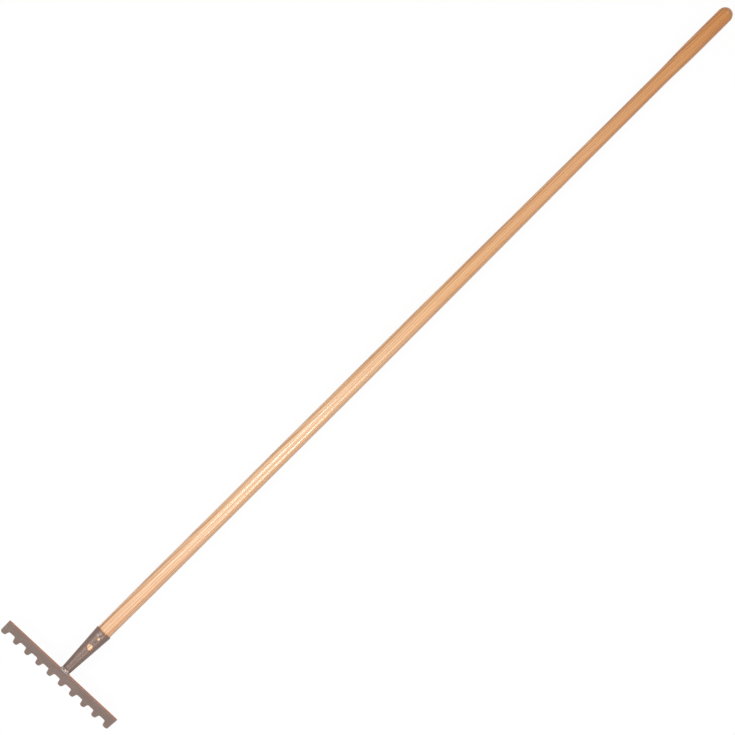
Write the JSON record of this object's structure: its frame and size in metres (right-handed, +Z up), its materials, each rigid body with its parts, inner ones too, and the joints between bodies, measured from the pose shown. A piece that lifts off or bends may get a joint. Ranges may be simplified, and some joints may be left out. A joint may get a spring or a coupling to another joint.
{
  "type": "garden rake",
  "caption": "Long-handled garden rake: a leaning stamped steel plate with short round-tipped teeth, welded to a rolled tapered socket on a turned ash handle with a swelled butt.",
  "frame": {"origin": "on the floor under the middle of the rake's overall box, with the rake lying teeth down", "axes": "+X along the handle from the head to the butt, +Y across the head, +Z up from the floor"},
  "size_m": [1.6287, 0.2488, 0.0457],
  "materials": {
    "ash_wood": "satin clear lacquer, fine lengthwise grain",
    "lacquered_steel": "thin taupe lacquer over mill-finish steel",
    "weld_steel": "bright rippled weld metal",
    "nail_steel": "plain drawn wire, hammered head"
  },
  "bodies": {
    "root": {"handle": "ash_wood", "socket": "lacquered_steel", "rake_head": "lacquered_steel", "weld_upper": "weld_steel", "weld_lower": "weld_steel", "nail": "nail_steel"}
  },
  "joints": []
}
